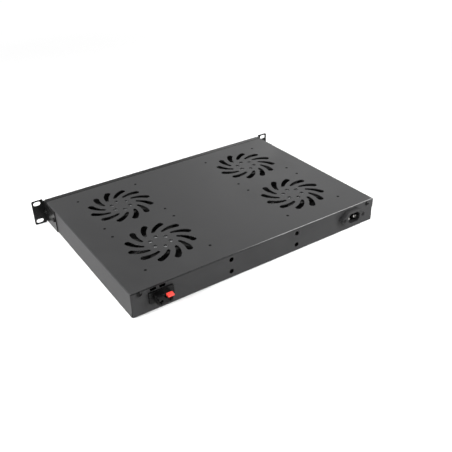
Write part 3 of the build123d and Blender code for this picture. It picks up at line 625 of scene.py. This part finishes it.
def selectFaces(piece, wanted):
    enterEdit(piece, "DESELECT")
    bpy.ops.mesh.select_mode(type="FACE")
    leaveEdit()
    for face in piece.data.polygons:
        face.select = wanted(face)
    bpy.ops.object.mode_set(mode="EDIT")


def facesUp(face):
    return face.normal.z > 0.9


def facesDown(face):
    return face.normal.z < -0.9


def applyModifiers(piece):
    onlySelect(piece)
    for modifier in list(piece.modifiers):
        bpy.ops.object.modifier_apply(modifier=modifier.name)


def settle(piece):
    onlySelect(piece)
    bpy.ops.object.transform_apply(location=True, rotation=True, scale=True)


def smoothEdges(piece, angle=35):
    onlySelect(piece)
    bpy.ops.object.shade_smooth_by_angle(angle=math.radians(angle))


def joinPieces(pieces):
    onlySelect(pieces[0])
    for piece in pieces:
        piece.select_set(True)
    bpy.ops.object.join()
    return bpy.context.object


def ownCopy(piece):
    copy = piece.copy()
    copy.data = piece.data.copy()
    bpy.context.collection.objects.link(copy)
    return copy


mergeReach = 0.000002


# A CAD node's mesh is loose triangles, so its copy is merged before anything is shaped
def mergedCopy(nodeName, flatAngle=None):
    piece = ownCopy(nodes[nodeName])
    piece.parent = None
    for key in list(piece.keys()):
        del piece[key]
    enterEdit(piece, "SELECT")
    bpy.ops.mesh.remove_doubles(threshold=mergeReach)
    if flatAngle:
        bpy.ops.mesh.dissolve_limited(angle_limit=math.radians(flatAngle))
    leaveEdit()
    return piece


def finishPiece(piece, name, body, finish):
    piece.name = name
    piece.data.materials.clear()
    piece.data.materials.append(finishes[finish])
    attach(piece, body)


# Screws: a cylinder drawn up to a crown, with a cross recess cut by a tapered blade
panHead = {
    "radius": 3.8,
    "height": 2.3,
    "wall": 1.2,
    "crown": ((0.5, 0.45), (0.8, 0.4), (1.0, 0.25)),
    "shankRadius": 2.0,
    "shankLength": 7.0,
    "recessReach": 2.1,
    "recessWidth": 0.85,
    "recessDepth": 1.5,
    "sides": 40,
}

sunkHead = {
    "radius": 3.2,
    "rim": 0.25,
    "shankRadius": 1.5,
    "shankLength": 12.6,
    "recessReach": 1.7,
    "recessWidth": 0.65,
    "recessDepth": 1.1,
    "sides": 32,
}

recessTaper = (0.35, 0.7, 1)


def cutRecess(screw, sizes, topHeight):
    for turn in (0, 90):
        bpy.ops.mesh.primitive_cube_add(size=1)
        blade = bpy.context.object
        bpy.ops.object.mode_set(mode="EDIT")
        length = 2 * sizes["recessReach"] * mm
        width = sizes["recessWidth"] * mm
        height = 2 * sizes["recessDepth"] * mm
        bpy.ops.transform.resize(value=(length, width, height))
        leaveEdit()
        selectFaces(blade, facesDown)
        bpy.ops.transform.resize(value=recessTaper)
        leaveEdit()
        blade.location = (0, 0, topHeight)
        blade.rotation_euler = (0, 0, math.radians(turn))
        settle(blade)
        cut = screw.modifiers.new("recess", "BOOLEAN")
        cut.operation = "DIFFERENCE"
        cut.solver = "EXACT"
        cut.object = blade
        applyModifiers(screw)
        bpy.data.objects.remove(blade)


def addDisc(sides, radius, depth, level):
    place = (0, 0, level)
    bpy.ops.mesh.primitive_cylinder_add(vertices=sides, radius=radius, depth=depth, location=place)
    disc = bpy.context.object
    settle(disc)
    return disc


def makePanScrew():
    radius = panHead["radius"] * mm
    wall = panHead["wall"] * mm
    screw = addDisc(panHead["sides"], radius, wall, wall / 2)
    selectFaces(screw, facesUp)
    height = wall
    for inset, rise in panHead["crown"]:
        bpy.ops.mesh.inset(thickness=inset * mm)
        bpy.ops.transform.translate(value=(0, 0, rise * mm))
        height += rise * mm
    leaveEdit()
    selectFaces(screw, facesDown)
    bpy.ops.mesh.inset(thickness=radius - panHead["shankRadius"] * mm)
    shank = (0, 0, -panHead["shankLength"] * mm)
    bpy.ops.mesh.extrude_region_move(TRANSFORM_OT_translate={"value": shank})
    leaveEdit()
    cutRecess(screw, panHead, height)
    smoothEdges(screw)
    return screw


def makeSunkScrew():
    radius = sunkHead["radius"] * mm
    rim = sunkHead["rim"] * mm
    drop = (sunkHead["radius"] - sunkHead["shankRadius"]) * mm
    screw = addDisc(sunkHead["sides"], radius, rim, -rim / 2)
    selectFaces(screw, facesDown)
    bpy.ops.mesh.extrude_region_move(TRANSFORM_OT_translate={"value": (0, 0, rim - drop)})
    share = sunkHead["shankRadius"] / sunkHead["radius"]
    bpy.ops.transform.resize(value=(share, share, 1))
    shank = (0, 0, drop - sunkHead["shankLength"] * mm)
    bpy.ops.mesh.extrude_region_move(TRANSFORM_OT_translate={"value": shank})
    leaveEdit()
    cutRecess(screw, sunkHead, 0)
    smoothEdges(screw)
    return screw


def placeScrew(pattern, place, outward, turn):
    screw = ownCopy(pattern)
    lean = Vector(outward).to_track_quat("Z", "Y").to_matrix().to_4x4()
    spin = Matrix.Rotation(math.radians(turn), 4, "Z")
    screw.matrix_world = Matrix.Translation(place) @ lean @ spin
    settle(screw)
    return screw


# Where each screw's cross stands, in degrees, as driven by hand
crossTurns = {
    "ear_screws_left": (20, 65),
    "ear_screws_right": (50, 10),
    "rear_cover_screws": (35, 12),
    "inlet_screws": (28, 70),
}


def joinHeads(heads, nodeName):
    joined = joinPieces(heads)
    finishPiece(joined, nodeName + "_crossed", "case", "blackOxide")
    return joined


def makeEarScrews(pattern, nodeName, side):
    low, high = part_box(nodeName)
    radius = panHead["radius"] * mm
    headHeight = panHead["height"] * mm
    headX = low.x + headHeight if side < 0 else high.x - headHeight
    level = (low.z + high.z) / 2
    heads = []
    for screwY, turn in zip((low.y + radius, high.y - radius), crossTurns[nodeName]):
        heads.append(placeScrew(pattern, (headX, screwY, level), (side, 0, 0), turn))
    joined = joinHeads(heads, nodeName)
    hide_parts(nodeName)


def makeRearScrews(pattern, nodeName, radius, headHeight):
    low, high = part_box(nodeName)
    level = (low.z + high.z) / 2
    heads = []
    for screwX, turn in zip((low.x + radius, high.x - radius), crossTurns[nodeName]):
        heads.append(placeScrew(pattern, (screwX, high.y - headHeight, level), (0, 1, 0), turn))
    joined = joinHeads(heads, nodeName)
    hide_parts(nodeName)


def makeScrews():
    pan = makePanScrew()
    sunk = makeSunkScrew()
    makeEarScrews(pan, "ear_screws_left", -1)
    makeEarScrews(pan, "ear_screws_right", 1)
    panRadius = panHead["radius"] * mm
    makeRearScrews(pan, "rear_cover_screws", panRadius, panHead["height"] * mm)
    makeRearScrews(sunk, "inlet_screws", sunkHead["radius"] * mm, 0)
    bpy.data.objects.remove(pan)
    bpy.data.objects.remove(sunk)


makeScrews()
print("screws modelled")


# The fan screws' tips reach up through the cover's holes, just short of its face
screwTips = {"from": 19.3, "height": 19.94}


def raiseTips():
    tips = mergedCopy("fan_screws")
    for vertex in tips.data.vertices:
        if vertex.co.z > screwTips["from"] * mm:
            vertex.co.z = screwTips["height"] * mm
    finishPiece(tips, "fan_screws_raised", "case", "screwTip")
    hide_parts("fan_screws")


raiseTips()
print("fan screw tips raised")


# Mouldings and painted sheets keep their shape and get small rounded edges
rounding = {
    "flatAngle": 1,
    "segments": 2,
    "bevelAngle": 50,
    "smoothAngle": 40,
    "flatWeight": 100,
}

softEdges = {
    "top_cover": 0.25,
    "base_pan": 0.3,
    "front_panel": 0.15,
    "ear_left": 0.15,
    "ear_right": 0.15,
    "terminal_body": 0.35,
    "terminal_lever_red": 0.35,
    "terminal_lever_black": 0.35,
    "inlet_housing": 0.3,
    "switch_body": 0.5,
    "switch_rocker": 0.35,
    "thermostat_body": 0.5,
}


def roundMoulding(nodeName, width):
    piece = mergedCopy(nodeName, rounding["flatAngle"])
    bevel = piece.modifiers.new("softEdge", "BEVEL")
    bevel.width = width * mm
    bevel.segments = rounding["segments"]
    bevel.limit_method = "ANGLE"
    bevel.angle_limit = math.radians(rounding["bevelAngle"])
    bevel.use_clamp_overlap = True
    applyModifiers(piece)
    smoothEdges(piece, rounding["smoothAngle"])
    flat = piece.modifiers.new("flatFaces", "WEIGHTED_NORMAL")
    flat.keep_sharp = True
    flat.weight = rounding["flatWeight"]
    applyModifiers(piece)
    return piece


# The rear wall stands a little lower at the terminal's end, so the seam opens there,
# and the front flange stops short of the cover's edge
seam = {"drop": 1.0, "fromY": 315.5, "fromZ": 18.1, "flangeGap": 0.8, "flangeY": 9.5}


def openSeam(wall):
    low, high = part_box("base_pan")
    for vertex in wall.data.vertices:
        if vertex.co.y > seam["fromY"] * mm and vertex.co.z > seam["fromZ"] * mm:
            share = (vertex.co.x - low.x) / (high.x - low.x)
            vertex.co.z -= share * seam["drop"] * mm


def shortenFlange(panel):
    for vertex in panel.data.vertices:
        if vertex.co.y > seam["flangeY"] * mm and vertex.co.z > seam["fromZ"] * mm:
            vertex.co.y -= seam["flangeGap"] * mm


def roundMouldings():
    homes = frame["record"]["behaviour"]["bodies"]
    for nodeName, width in softEdges.items():
        piece = roundMoulding(nodeName, width)
        if nodeName == "base_pan":
            openSeam(piece)
        if nodeName == "front_panel":
            shortenFlange(piece)
        body = [home for home in homes if nodeName in homes[home]][0]
        piece.name = nodeName + "_moulded"
        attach(piece, body)
        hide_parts(nodeName)


roundMouldings()
print("mouldings rounded")
